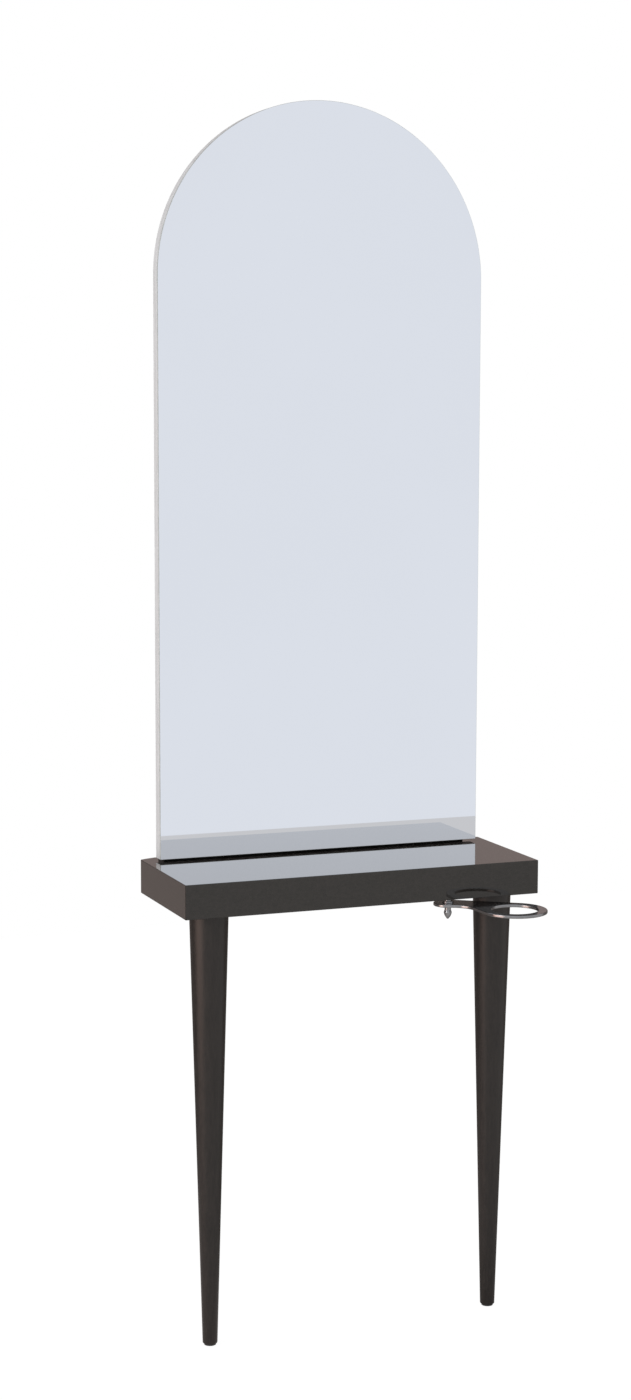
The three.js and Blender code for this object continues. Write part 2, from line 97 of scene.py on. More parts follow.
# Noise of the finishes
NOISE_SPAN = (0.3, 0.7)
NOISE_ROUGHNESS = 0.55
BROAD_DETAIL = 4.0
FINE_DETAIL = 3.0

# Sockets of a Mix node that blends colours
MIX_SHARE = 0
MIX_FIRST = 6
MIX_SECOND = 7
MIX_BLEND = 2

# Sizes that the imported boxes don't give, in metres, with angles and shares
REAR_CORNER_RADIUS = 0.162
GLUE_LINE = 0.0002
LEG_FOOT_RADIUS = 0.013
BOLT_ROOM = 0.0006
FIT_ROOM = 0.0003
WALL_HOLE_RADIUS = 0.003
WALL_HOLE_FROM_END = 0.08
CLEAT_HOLE_RISE = 0.0225
SCREW_RADIUS = 0.00225
SCREW_HEAD_RADIUS = 0.0045
SCREW_HEAD_RIM = 0.0004
SCREW_TIP = 0.005
RECESS_HALF_LENGTH = 0.0026
RECESS_HALF_WIDTH = 0.0006
RECESS_DEPTH = 0.0018
RECESS_TAPER = 0.5
ARM_LENGTH = 0.1275
ARM_REST_ANGLE = math.radians(-49)
ARM_END_RADIUS = 0.0255
ARM_FLANK_ANGLE = math.radians(36)
ARM_SCOOP_RADIUS = 0.04
RING_RADIUS = 0.057
RING_HOLE_RADIUS = 0.04075
STUD_RADIUS = 0.004
FINIAL_NECK_RADIUS = 0.0057
FINIAL_NECK_LENGTH = 0.0066
FINIAL_SHOULDER_HEIGHT = 0.0046
FINIAL_CONE_BULGE = 0.0011
FINIAL_TIP_RADIUS = 0.0013
FINIAL_BORE_DEPTH = 0.011
COLLAR_HUB_RADIUS = 0.00625
COLLAR_HUB_HEIGHT = 0.002
GLIDE_THICKNESS = 0.003
GLIDE_STEM_RADIUS = 0.003
BAND_THICKNESS = 0.001

# Eased edges
SHELF_ARRIS = 0.0012
TIMBER_ARRIS = 0.001
GLASS_ARRIS = 0.0006
BAND_ARRIS = 0.0004
ARM_ARRIS = 0.0013
LEG_TOP_EASE = 0.0008
LEG_FOOT_EASE = 0.002
SMALL_EASE = 0.0004
WASHER_EASE = 0.0002
ARRIS_SEGMENTS = 4
GLASS_ARRIS_SEGMENTS = 2
EASE_STEPS = 5
ROUND_PROFILE = 0.5

# Facets
LEG_SEGMENTS = 96
SMALL_SEGMENTS = 48
ARCH_SEGMENTS = 160
CORNER_SEGMENTS = 32
ARM_SEGMENTS = 96
ARM_END_SEGMENTS = 48
SCOOP_SEGMENTS = 28
CONE_STEPS = 16

# Limits: angles at an edge, the part of a normal that counts as face on, and lengths in metres
SHARP_ANGLE = math.radians(32)
BEVEL_ANGLE = math.radians(30)
FACE_ON = 0.99
TOUCH = 1e-7
OVERRUN = 0.001

# Turns and directions
QUARTER_TURN = math.pi / 2
FULL_TURN = 2 * math.pi
AXES = "xyz"
UP = (0, 0, 1)
RIGHTWARD = (1, 0, 0)
FORWARD = (0, -1, 0)
MATRIX_SIZE = 4

# Turns from the plan to an outline that faces the front, and to one that is a section across X
FACING = Matrix(((1, 0, 0, 0), (0, 0, 1, 0), (0, 1, 0, 0), (0, 0, 0, 1)))
LYING = Matrix(((0, 0, 1, 0), (1, 0, 0, 0), (0, 1, 0, 0), (0, 0, 0, 1)))

# Names of nodes
SIDES = {"left": -1, "right": 1}
SCREW_LEVELS = ("bottom", "mid", "top")
DOWEL_LEVELS = ("foot", "mid", "top")
LEDGER_SCREWS = [f"ledger_screw_{index}" for index in (1, 2, 3)]
SHELF_SCREWS = [f"shelf_screw_{side}" for side in SIDES]


# Shader nodes

def new_tree(owner):
    owner.use_nodes = True
    owner.node_tree.nodes.clear()
    return owner.node_tree


def add(tree, kind, inputs=None, **settings):
    """A node with its settings, and with its inputs linked to sockets or set to values."""
    node = tree.nodes.new("ShaderNode" + kind)
    for name, value in settings.items():
        setattr(node, name, value)
    for name, value in (inputs or {}).items():
        socket = node.inputs[name]
        if isinstance(value, bpy.types.NodeSocket):
            tree.links.new(value, socket)
        elif isinstance(value, tuple) and socket.type == "RGBA":
            socket.default_value = (*value, 1.0)
        else:
            socket.default_value = value
    return node


def blend_colour(tree, share, first, second):
    inputs = {MIX_SHARE: share, MIX_FIRST: first, MIX_SECOND: second}
    return add(tree, "Mix", inputs, data_type="RGBA").outputs[MIX_BLEND]


def blend_shader(tree, share, first, second):
    return add(tree, "MixShader", {0: share, 1: first, 2: second}).outputs[0]


def ramp(tree, value, low, high, to_low=0.0, to_high=1.0):
    """A smooth change from one value to another while a value goes from low to high."""
    node = add(
        tree,
        "MapRange",
        {"Value": value, "From Min": low, "From Max": high, "To Min": to_low, "To Max": to_high},
        interpolation_type="SMOOTHSTEP",
    )
    return node.outputs[0]


def combined(tree, operation, first, second):
    return add(tree, "Math", {0: first, 1: second}, operation=operation).outputs[0]


def coordinates(tree, kind):
    return add(tree, "SeparateXYZ", {0: add(tree, "TexCoord").outputs[kind]}).outputs


def ray_kinds(tree):
    """Shares of the rays that see the stage, straight or through glass, and of those off a gloss."""
    path = add(tree, "LightPath").outputs
    seen = combined(tree, "MAXIMUM", path["Is Camera Ray"], path["Is Transmission Ray"])
    return seen, path["Is Glossy Ray"]


def noise(tree, scale, detail):
    """Noise that is stretched by a scale along each axis, in cycles per metre."""
    place = add(tree, "TexCoord").outputs["Object"]
    stretched = add(tree, "Mapping", {"Vector": place, "Scale": scale}).outputs[0]
    inputs = {"Vector": stretched, "Scale": 1.0, "Detail": detail, "Roughness": NOISE_ROUGHNESS}
    return add(tree, "TexNoise", inputs).outputs[0]


def finish(name, dark, light, grain, rough, bump=None, fibre=None, **sockets):
    """A principled finish whose colour, roughness and relief come from noise along the grain."""
    material = bpy.data.materials.new(name)
    tree = new_tree(material)
    share = ramp(tree, noise(tree, grain, BROAD_DETAIL), *NOISE_SPAN)
    if fibre:
        fine = ramp(tree, noise(tree, fibre, FINE_DETAIL), *NOISE_SPAN)
        share = combined(tree, "DIVIDE", combined(tree, "ADD", share, fine), 2.0)
    inputs = {socket.replace("_", " "): value for socket, value in sockets.items()}
    inputs["Base Color"] = blend_colour(tree, share, dark, light)
    inputs["Roughness"] = ramp(tree, share, 0.0, 1.0, *rough)
    if bump:
        relief = noise(tree, bump["scale"], FINE_DETAIL)
        depth = {"Distance": bump["height"], "Strength": bump["strength"]}
        inputs["Normal"] = add(tree, "Bump", {"Height": relief, **depth}).outputs[0]
    shader = add(tree, "BsdfPrincipled", inputs).outputs[0]
    add(tree, "OutputMaterial", {"Surface": shader})
    return material


# Finishes

def along(axis, across, lengthways):
    """Scales for a grain that runs along one axis."""
    return tuple(lengthways if letter == axis else across for letter in AXES)


def even(scale):
    return (scale, scale, scale)


def timber(axis):
    return finish(
        "planed_timber_" + axis,
        dark=(0.36, 0.215, 0.105),
        light=(0.60, 0.43, 0.25),
        grain=along(axis, across=95.0, lengthways=3.0),
        rough=(0.55, 0.72),
        bump={"scale": along(axis, across=900.0, lengthways=14.0), "height": 0.0003, "strength": 0.5},
        fibre=along(axis, across=620.0, lengthways=9.0),
    )


def black_paint(axis):
    return finish(
        "black_paint_" + axis,
        dark=(0.02, 0.0194, 0.0189),
        light=(0.034, 0.033, 0.0323),
        grain=along(axis, across=60.0, lengthways=5.0),
        rough=(0.42, 0.58),
        bump={"scale": along(axis, across=520.0, lengthways=10.0), "height": 0.0003, "strength": 0.35},
        fibre=along(axis, across=420.0, lengthways=8.0),
        Specular_IOR_Level=0.25,
    )


def laminate(name, rough, **sockets):
    return finish(
        name,
        dark=(0.0128, 0.0116, 0.0102),
        light=(0.0268, 0.0238, 0.021),
        grain=(150.0, 150.0, 210.0),
        rough=rough,
        bump={"scale": even(900.0), "height": 0.00004, "strength": 0.06},
        fibre=(520.0, 520.0, 760.0),
        **sockets,
    )


TIMBER = {axis: timber(axis) for axis in AXES}
PAINT_ALONG = black_paint("x")
PAINT_UPRIGHT = black_paint("z")
LAMINATE = laminate("dark_laminate", rough=(0.018, 0.035), IOR=1.52)
LAMINATE_TOP = laminate(
    "dark_laminate_top",
    rough=(0.04, 0.07),
    Coat_Weight=1.0,
    Coat_Roughness=0.02,
    Coat_IOR=1.66,
)
LEG_LACQUER = finish(
    "leg_lacquer",
    dark=(0.0104, 0.0078, 0.0067),
    light=(0.022, 0.017, 0.0145),
    grain=along("z", across=210.0, lengthways=26.0),
    rough=(0.32, 0.4),
    bump={"scale": along("z", across=700.0, lengthways=60.0), "height": 0.0001, "strength": 0.2},
    fibre=along("z", across=560.0, lengthways=90.0),
    IOR=1.45,
)
SILVERED = finish(
    "silvered_glass",
    dark=(0.735, 0.772, 0.828),
    light=(0.745, 0.782, 0.84),
    grain=even(2.0),
    rough=(0.004, 0.01),
    Metallic=1.0,
)
GLASS_EDGE = finish(
    "polished_glass_edge",
    dark=(0.48, 0.51, 0.505),
    light=(0.58, 0.60, 0.595),
    grain=even(60.0),
    rough=(0.06, 0.14),
    bump={"scale": even(400.0), "height": 0.00005, "strength": 0.2},
)
SAFETY_FILM = finish(
    "grey_film",
    dark=(0.22, 0.23, 0.25),
    light=(0.3, 0.31, 0.33),
    grain=even(90.0),
    rough=(0.45, 0.6),
    bump={"scale": even(500.0), "height": 0.00006, "strength": 0.3},
)
FIBREBOARD = finish(
    "raw_fibreboard",
    dark=(0.34, 0.25, 0.155),
    light=(0.52, 0.41, 0.275),
    grain=even(170.0),
    rough=(0.7, 0.85),
    bump={"scale": even(1100.0), "height": 0.00012, "strength": 0.4},
    fibre=even(900.0),
)
EDGE_BAND = finish(
    "pale_edge_band",
    dark=(0.65, 0.65, 0.655),
    light=(0.735, 0.735, 0.74),
    grain=(120.0, 300.0, 14.0),
    rough=(0.35, 0.48),
    bump={"scale": (500.0, 500.0, 60.0), "height": 0.00005, "strength": 0.2},
)
# Painted shade: the same polished chrome darkened, for rims and turned parts, standing in for darker
# reflections
SHADED_CHROME = finish(
    "polished_chrome",
    dark=(0.25, 0.254, 0.264),
    light=(0.31, 0.314, 0.324),
    grain=even(55.0),
    rough=(0.17, 0.24),
    Metallic=1.0,
)
# Painted light: a brighter copy of the same chrome, for the arm's flat faces, standing in for brighter
# reflections
LIT_CHROME_FACE = finish(
    "polished_chrome_lit_face",
    dark=(0.52, 0.532, 0.556),
    light=(0.60, 0.612, 0.636),
    grain=even(55.0),
    rough=(0.11, 0.17),
    Metallic=1.0,
)
ZINC = finish(
    "bright_zinc",
    dark=(0.40, 0.41, 0.43),
    light=(0.58, 0.59, 0.60),
    grain=even(260.0),
    rough=(0.24, 0.4),
    bump={"scale": even(1500.0), "height": 0.00003, "strength": 0.3},
    Metallic=1.0,
)
NYLON = finish(
    "black_nylon",
    dark=(0.012, 0.012, 0.0125),
    light=(0.024, 0.024, 0.0245),
    grain=even(240.0),
    rough=(0.45, 0.6),
    bump={"scale": even(1400.0), "height": 0.00005, "strength": 0.3},
)


# Solids

def weld(solid):
    bmesh.ops.remove_doubles(solid, verts=solid.verts, dist=TOUCH)
    bmesh.ops.recalc_face_normals(solid, faces=solid.faces)
    return solid


def moved(solid, matrix):
    bmesh.ops.transform(solid, matrix=matrix, verts=solid.verts)
    return solid


def turn_about(axis, angle):
    return Matrix.Rotation(angle, MATRIX_SIZE, axis)


def pointed(direction):
    """The turn that brings a solid's own +Z to a direction."""
    return Vector(direction).to_track_quat("Z", "Y").to_matrix().to_4x4()


def over(place):
    """The shift that brings the Z axis to a place, with heights left alone."""
    return Matrix.Translation((place.x, place.y, 0))


def middle(node):
    low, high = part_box(node)
    return (low + high) / 2


def half_width(node):
    low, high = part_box(node)
    return (high.x - low.x) / 2


def rectangle(left, front, right, back):
    return [(left, front), (right, front), (right, back), (left, back)]


def arc(centre, radius, start, end, segments):
    across, up = centre
    made = []
    for step in range(segments + 1):
        angle = start + (end - start) * step / segments
        made.append((across + radius * math.cos(angle), up + radius * math.sin(angle)))
    return made


def circle(centre, radius, segments):
    return arc(centre, radius, 0, FULL_TURN, segments)[:-1]


def eased(points, radius):
    """A profile whose inner corners are rounded."""
    made = [Vector(points[0])]
    for before, corner, after in zip(points, points[1:], points[2:]):
        corner = Vector(corner)
        back = Vector(before) - corner
        on = Vector(after) - corner
        reach = min(radius / math.tan(back.angle(on) / 2), back.length / 2, on.length / 2)
        start = corner + back.normalized() * reach
        end = corner + on.normalized() * reach
        for step in range(EASE_STEPS + 1):
            share = step / EASE_STEPS
            rest = 1 - share
            made.append(start * rest**2 + corner * (2 * share * rest) + end * share**2)
    made.append(Vector(points[-1]))
    return made


def bridge(solid, here, there):
    """Faces all round between two loops of corners."""
    for index in range(len(here)):
        after = (index + 1) % len(here)
        solid.faces.new((here[index], here[after], there[after], there[index]))


def prism(points, low, high):
    """A solid between two levels, from its outline in plan."""
    solid = bmesh.new()
    loops = [[solid.verts.new((x, y, level)) for x, y in points] for level in (low, high)]
    bridge(solid, *loops)
    for loop in loops:
        solid.faces.new(loop)
    return weld(solid)


def turned_outline(points, low, high, turn):
    """A prism whose outline is drawn in another plane, which the turn brings round from the plan."""
    return weld(moved(prism(points, low, high), turn))


def lathe(profile, segments=SMALL_SEGMENTS, ring=False):
    """A solid turned about Z. A ring's profile closes on itself, and others run from axis to axis."""
    solid = bmesh.new()
    rows = []
    for radius, height in profile:
        spots = [(0, 0)] if radius < TOUCH else circle((0, 0), radius, segments)
        rows.append([solid.verts.new((x, y, height)) for x, y in spots])
    pairs = list(zip(rows, rows[1:]))
    if ring:
        pairs.append((rows[-1], rows[0]))
    for lower, upper in pairs:
        for index in range(segments):
            after = (index + 1) % segments
            corners = [
                lower[index % len(lower)],
                lower[after % len(lower)],
                upper[after % len(upper)],
                upper[index % len(upper)],
            ]
            solid.faces.new(list(dict.fromkeys(corners)))
    return weld(solid)


def rod(radius, low, high):
    return lathe([(0, low), (radius, low), (radius, high), (0, high)])


def ease_edges(solid, width, segments=ARRIS_SEGMENTS):
    edges = [edge for edge in solid.edges if edge.calc_face_angle(0.0) > BEVEL_ANGLE]
    bmesh.ops.bevel(
        solid,
        geom=edges,
        offset=width,
        offset_type="OFFSET",
        segments=segments,
        profile=ROUND_PROFILE,
        affect="EDGES",
        clamp_overlap=True,
    )
    return weld(solid)


def clip(solid, cuts):
    """What is left of a convex solid behind each cut, given as a point and an outward direction."""
    for point, direction in cuts:
        made = bmesh.ops.bisect_plane(
            solid,
            geom=[*solid.verts, *solid.edges, *solid.faces],
            dist=TOUCH,
            plane_co=point,
            plane_no=Vector(direction).normalized(),
            clear_outer=True,
        )
        rim = [item for item in made["geom_cut"] if isinstance(item, bmesh.types.BMEdge)]
        bmesh.ops.edgeloop_fill(solid, edges=rim)
    return weld(solid)


def to_object(name, solid):
    data = bpy.data.meshes.new(name)
    solid.to_mesh(data)
    solid.free()
    made = bpy.data.objects.new(name, data)
    bpy.context.scene.collection.objects.link(made)
    return made


def drilled(solid, cutters):
    """The solid with all the cutters taken out of it."""
    tools = bmesh.new()
    for cutter in cutters:
        data = bpy.data.meshes.new("cutter")
        cutter.to_mesh(data)
        cutter.free()
        tools.from_mesh(data)
        bpy.data.meshes.remove(data)
    target = to_object("target", solid)
    tool = to_object("tool", tools)
    modifier = target.modifiers.new("holes", "BOOLEAN")
    modifier.operation = "DIFFERENCE"
    modifier.solver = "EXACT"
    modifier.object = tool
    graph = bpy.context.evaluated_depsgraph_get()
    data = bpy.data.meshes.new_from_object(target.evaluated_get(graph))
    made = bmesh.new()
    made.from_mesh(data)
    for used in (target, tool):
        mesh = used.data
        bpy.data.objects.remove(used)
        bpy.data.meshes.remove(mesh)
    bpy.data.meshes.remove(data)
    return made


def piece(name, solid, materials, node, body="station"):
    """A shown piece that stands for a node of the frame."""
    made = to_object(name, solid)
    for material in materials:
        made.data.materials.append(material)
    made.data.shade_smooth()
    made.data.set_sharp_from_angle(angle=SHARP_ANGLE)
    weighted = made.modifiers.new("even_shading", "WEIGHTED_NORMAL")
    weighted.keep_sharp = True
    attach(made, body)
    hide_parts(node)


# Screws with cross recesses, and their holes

def screw_place(node, direction):
    """Turns a screw's own +Z to the way it is driven, with its head's face on the node's."""
    low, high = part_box(node)
    drive = Vector(direction)
    head = middle(node) - drive * abs((high - low).dot(drive)) / 2
    return Matrix.Translation(head) @ pointed(direction)


def screw_length(node):
    low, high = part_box(node)
    return max(high - low)


def screw_profile(length, room=0.0):
    shank = SCREW_RADIUS + room
    head = SCREW_HEAD_RADIUS + room
    slope = SCREW_HEAD_RADIUS - SCREW_RADIUS
    face = -OVERRUN if room else 0.0
    return [
        (0, face),
        (head, face),
        (head, SCREW_HEAD_RIM),
        (shank, SCREW_HEAD_RIM + slope),
        (shank, length - SCREW_TIP + room),
        (0, length + room),
    ]


def screw_holes(nodes, direction):
    made = []
    for node in nodes:
        hole = lathe(screw_profile(screw_length(node), FIT_ROOM))
        made.append(moved(hole, screw_place(node, direction)))
    return made


def recess_wing(turn):
    corners = rectangle(-RECESS_HALF_LENGTH, -RECESS_HALF_WIDTH, RECESS_HALF_LENGTH, RECESS_HALF_WIDTH)
    wing = prism(corners, -OVERRUN, RECESS_DEPTH)
    for vert in wing.verts:
        if vert.co.z > 0:
            vert.co.x *= RECESS_TAPER
    return moved(wing, turn_about("Z", turn))


def cross_screw(node, direction):
    solid = lathe(screw_profile(screw_length(node)))
    for turn in (0.0, QUARTER_TURN):
        solid = drilled(solid, [recess_wing(turn)])
    piece("dressed_" + node, moved(solid, screw_place(node, direction)), [ZINC], node)


# Shelf box

top_low, top_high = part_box("shelf_top_panel")
panel = top_high.z - top_low.z
shelf_half = top_high.x
shelf_front = top_low.y
shelf_top = top_high.z
shelf_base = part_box("shelf_bottom_panel")[0].z
rear_sweep = -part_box("shelf_left_end_rail")[1].y
rear_run = math.sqrt(2 * REAR_CORNER_RADIUS * rear_sweep - rear_sweep**2)
rear_angle = math.asin(rear_run / REAR_CORNER_RADIUS)
bolt_radius = half_width("left_hanger_bolt")
pivot = Vector(frame["joints"][0]["pos_m"])


def shelf_solid():
    right = (shelf_half - rear_run, -REAR_CORNER_RADIUS)
    left = (rear_run - shelf_half, -REAR_CORNER_RADIUS)
    plan = [
        (-shelf_half, shelf_front),
        (shelf_half, shelf_front),
        *arc(right, REAR_CORNER_RADIUS, QUARTER_TURN - rear_angle, QUARTER_TURN, CORNER_SEGMENTS),
        *arc(left, REAR_CORNER_RADIUS, QUARTER_TURN, QUARTER_TURN + rear_angle, CORNER_SEGMENTS),
    ]
    return ease_edges(prism(plan, shelf_base, shelf_top), SHELF_ARRIS)


def panel_cuts(level, up):
    """The mitres and the inner face of the top panel, or of the bottom one."""
    return [
        ((0, 0, level - up * panel), (0, 0, -up)),
        ((0, shelf_front, level), (0, -1, -up)),
        ((-shelf_half, 0, level), (-1, 0, -up)),
        ((shelf_half, 0, level), (1, 0, -up)),
    ]


def bolt_hole(radius, place):
    """A hole right through the bottom panel."""
    hole = rod(radius + BOLT_ROOM, shelf_base - OVERRUN, shelf_base + panel + OVERRUN)
    return moved(hole, over(place))


piece(
    "shelf_top",
    drilled(clip(shelf_solid(), panel_cuts(shelf_top, 1)), screw_holes(SHELF_SCREWS, UP)),
    [LAMINATE_TOP],
    "shelf_top_panel",
)
bottom_holes = [
    *screw_holes(LEDGER_SCREWS, UP),
    *[bolt_hole(bolt_radius, middle(f"{side}_leg")) for side in SIDES],
    bolt_hole(STUD_RADIUS, pivot),
]
piece(
    "shelf_bottom",
    drilled(clip(shelf_solid(), panel_cuts(shelf_base, -1)), bottom_holes),
    [LAMINATE],
    "shelf_bottom_panel",
)
front_cuts = [
    ((0, shelf_front + panel, 0), (0, 1, 0)),
    ((0, shelf_front, shelf_top - GLUE_LINE), (0, 1, 1)),
    ((0, shelf_front, shelf_base + GLUE_LINE), (0, 1, -1)),
    ((GLUE_LINE - shelf_half, shelf_front, 0), (-1, 1, 0)),
    ((shelf_half - GLUE_LINE, shelf_front, 0), (1, 1, 0)),
]
piece("shelf_front", clip(shelf_solid(), front_cuts), [LAMINATE], "shelf_front_rail")
for side, sign in SIDES.items():
    end_cuts = [
        ((sign * (shelf_half - panel), 0, 0), (-sign, 0, 0)),
        ((sign * shelf_half, 0, shelf_top - GLUE_LINE), (-sign, 0, 1)),
        ((sign * shelf_half, 0, shelf_base + GLUE_LINE), (-sign, 0, -1)),
        ((sign * shelf_half, shelf_front + GLUE_LINE, 0), (-sign, -1, 0)),
        ((0, -rear_sweep, 0), (0, 1, 0)),
    ]
    piece(f"shelf_{side}_end", clip(shelf_solid(), end_cuts), [LAMINATE], f"shelf_{side}_end_rail")


# Timber of the wall side

def block(node):
    low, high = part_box(node)
    return ease_edges(prism(rectangle(low.x, low.y, high.x, high.y), low.z, high.z), TIMBER_ARRIS)


def hooked_rail(node, slope_below):
    """A rail along X that slopes at 45 degrees, below towards the front or above towards the back."""
    low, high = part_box(node)
    depth = high.y - low.y
    rise, fall = (depth, 0) if slope_below else (0, depth)
    section = [(low.y, low.z + rise), (high.y, low.z), (high.y, high.z - fall), (low.y, high.z)]
    return ease_edges(turned_outline(section, low.x, high.x, LYING), TIMBER_ARRIS)


def dowel_hole(node):
    low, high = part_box(node)
    length = max(high - low)
    radius = min(high - low) / 2 + FIT_ROOM
    direction = RIGHTWARD if high.x - low.x == length else UP
    hole = rod(radius, -length / 2 - FIT_ROOM, length / 2 + FIT_ROOM)
    return moved(hole, Matrix.Translation(middle(node)) @ pointed(direction))


def wall_holes(node, level):
    low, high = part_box(node)
    made = []
    for sign in SIDES.values():
        hole = rod(WALL_HOLE_RADIUS, -OVERRUN, high.y - low.y + OVERRUN)
        place = Matrix.Translation((sign * (high.x - WALL_HOLE_FROM_END), 0, level))
        made.append(moved(hole, place @ pointed(FORWARD)))
    return made


def rail_holes(screw_level, dowel_level):
    screws = [f"board_screw_{side}_{screw_level}" for side in SIDES]
    dowels = [f"frame_{side}_{dowel_level}_dowel" for side in SIDES]
    return [*screw_holes(screws, FORWARD), *[dowel_hole(node) for node in dowels]]


bottom_rail_holes = [*rail_holes("bottom", "foot"), *screw_holes(SHELF_SCREWS, UP)]
bottom_rail = drilled(block("frame_bottom_rail"), bottom_rail_holes)
piece("frame_bottom", bottom_rail, [PAINT_ALONG], "frame_bottom_rail")
mid_rail = drilled(block("frame_mid_rail"), rail_holes("mid", "mid"))
piece("frame_middle", mid_rail, [PAINT_ALONG], "frame_mid_rail")
top_rail = drilled(hooked_rail("frame_top_rail", slope_below=True), rail_holes("top", "top"))
piece("frame_top", top_rail, [PAINT_ALONG], "frame_top_rail")
for side in SIDES:
    node = f"frame_{side}_stile"
    holes = [dowel_hole(f"frame_{side}_{level}_dowel") for level in DOWEL_LEVELS]
    piece(f"frame_{side}", drilled(block(node), holes), [PAINT_UPRIGHT], node)
cleat_holes = wall_holes("wall_cleat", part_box("wall_cleat")[0].z + CLEAT_HOLE_RISE)
cleat = drilled(hooked_rail("wall_cleat", slope_below=False), cleat_holes)
piece("cleat", cleat, [TIMBER["x"]], "wall_cleat")
ledger_holes = [*screw_holes(LEDGER_SCREWS, UP), *wall_holes("wall_ledger", middle("wall_ledger").z)]
piece("ledger", drilled(block("wall_ledger"), ledger_holes), [TIMBER["x"]], "wall_ledger")


# Legs and glides

def leg_solid(side):
    low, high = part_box(f"{side}_leg")
    bolt_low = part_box(f"{side}_hanger_bolt")[0].z - FIT_ROOM
    stem_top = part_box(f"{side}_foot_glide")[1].z + FIT_ROOM
    bolt_bore = bolt_radius + FIT_ROOM
    stem_bore = GLIDE_STEM_RADIUS + FIT_ROOM
    ankle = (LEG_FOOT_RADIUS, low.z)
    crown = (half_width(f"{side}_leg"), high.z)
    profile = [
        (0, stem_top),
        (stem_bore, stem_top),
        *eased([(stem_bore, low.z), ankle, crown], LEG_FOOT_EASE)[:-1],
        *eased([ankle, crown, (bolt_bore, high.z)], LEG_TOP_EASE)[1:],
        (bolt_bore, bolt_low),
        (0, bolt_low),
    ]
    return lathe(profile, LEG_SEGMENTS)


def glide_solid(node):
    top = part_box(node)[1].z
    pad = half_width(node)
    stem = GLIDE_STEM_RADIUS
    rim = eased([(0, 0), (pad, 0), (pad, GLIDE_THICKNESS), (stem, GLIDE_THICKNESS)], SMALL_EASE)
    return lathe([*rim, (stem, top), (0, top)])


for side in SIDES:
    place = over(middle(f"{side}_leg"))
    piece(f"{side}_turned_leg", moved(leg_solid(side), place), [LEG_LACQUER], f"{side}_leg")
    node = f"{side}_foot_glide"
    piece(f"{side}_glide", moved(glide_solid(node), place), [NYLON], node)


# Mirror

def arch(node, inset=0.0):
    low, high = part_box(node)
    half = high.x - inset
    centre = (0, high.z - high.x)
    foot = low.z + inset
    return [(-half, foot), (half, foot), *arc(centre, half, 0, math.pi, ARCH_SEGMENTS)]


def glass_solid(node):
    low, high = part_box(node)
    pane = turned_outline(arch(node), low.y, high.y, FACING)
    pane = ease_edges(pane, GLASS_ARRIS, GLASS_ARRIS_SEGMENTS)
    for face in pane.faces:
        face.material_index = 0 if face.normal.y < -FACE_ON else 1
    return pane


def band_solid(node):
    low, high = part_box(node)
    section = [
        (BAND_ARRIS, low.y),
        (0, low.y + BAND_ARRIS),
        (0, high.y - BAND_ARRIS),
        (BAND_ARRIS, high.y),
        (BAND_THICKNESS, high.y),
        (BAND_THICKNESS, low.y),
    ]
    band = bmesh.new()
    loops = [[band.verts.new((x, y, z)) for x, z in arch(node, inset)] for inset, y in section]
    for here, there in zip(loops, [*loops[1:], loops[0]]):
        bridge(band, here, there)
    return weld(band)


piece("mirror_pane", glass_solid("mirror_glass"), [SILVERED, GLASS_EDGE], "mirror_glass")
piece("mirror_band", band_solid("mirror_edge_band"), [EDGE_BAND], "mirror_edge_band")


# Tool holder

arm_low, arm_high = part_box("holder_arm")
arm_thickness = arm_high.z - arm_low.z
stud_bore = STUD_RADIUS + FIT_ROOM


def arm_loops(inset):
    """The arm's outline and its two holes, with the pivot at the origin and the ring on +X."""
    end = ARM_END_RADIUS - inset
    ring = RING_RADIUS - inset
    scoop = ARM_SCOOP_RADIUS + inset
    rear = math.asin((ring - end) / ARM_LENGTH)
    flank = ARM_FLANK_ANGLE
    to_scoop = ring - ARM_LENGTH * math.sin(flank) + scoop
    reach = math.sqrt((end + scoop) ** 2 - to_scoop**2)
    x = reach * math.cos(flank) - to_scoop * math.sin(flank)
    y = -reach * math.sin(flank) - to_scoop * math.cos(flank)
    scoop_angle = math.atan2(y, x)
    outside = [
        *arc((ARM_LENGTH, 0), ring, -QUARTER_TURN - flank, QUARTER_TURN + rear, ARM_SEGMENTS),
        *arc((0, 0), end, QUARTER_TURN + rear, FULL_TURN + scoop_angle, ARM_END_SEGMENTS),
        *arc((x, y), scoop, math.pi + scoop_angle, QUARTER_TURN - flank, SCOOP_SEGMENTS)[1:],
    ]
    pivot_hole = circle((0, 0), stud_bore + min(inset, SMALL_EASE), SMALL_SEGMENTS)
    ring_hole = circle((ARM_LENGTH, 0), RING_HOLE_RADIUS + inset, ARM_SEGMENTS)
    return [outside, pivot_hole, ring_hole]


def arm_section():
    """Insets and heights up the arm's rounded edge, with the arm's top at zero."""
    lower = []
    for step in range(EASE_STEPS + 1):
        angle = QUARTER_TURN * step / EASE_STEPS
        inset = ARM_ARRIS * (1 - math.sin(angle))
        lower.append((inset, ARM_ARRIS * (1 - math.cos(angle)) - arm_thickness))
    upper = [(inset, -arm_thickness - height) for inset, height in reversed(lower)]
    return [*lower, *upper]


def arm_solid():
    arm = bmesh.new()
    levels = []
    for inset, height in arm_section():
        levels.append([[arm.verts.new((x, y, height)) for x, y in loop] for loop in arm_loops(inset)])
    for here, there in zip(levels, levels[1:]):
        for lower, upper in zip(here, there):
            bridge(arm, lower, upper)
    for level in (levels[0], levels[-1]):
        pairs = [(loop[index - 1], loop[index]) for loop in level for index in range(len(loop))]
        bmesh.ops.triangle_fill(arm, edges=[arm.edges.get(pair) for pair in pairs], use_beauty=True)
    weld(arm)
    # painted light on the flat faces with the brighter chrome, painted shade on the rounded edges with
    # the darker one
    for face in arm.faces:
        face.material_index = 0 if abs(face.normal.z) > FACE_ON else 1
    return arm


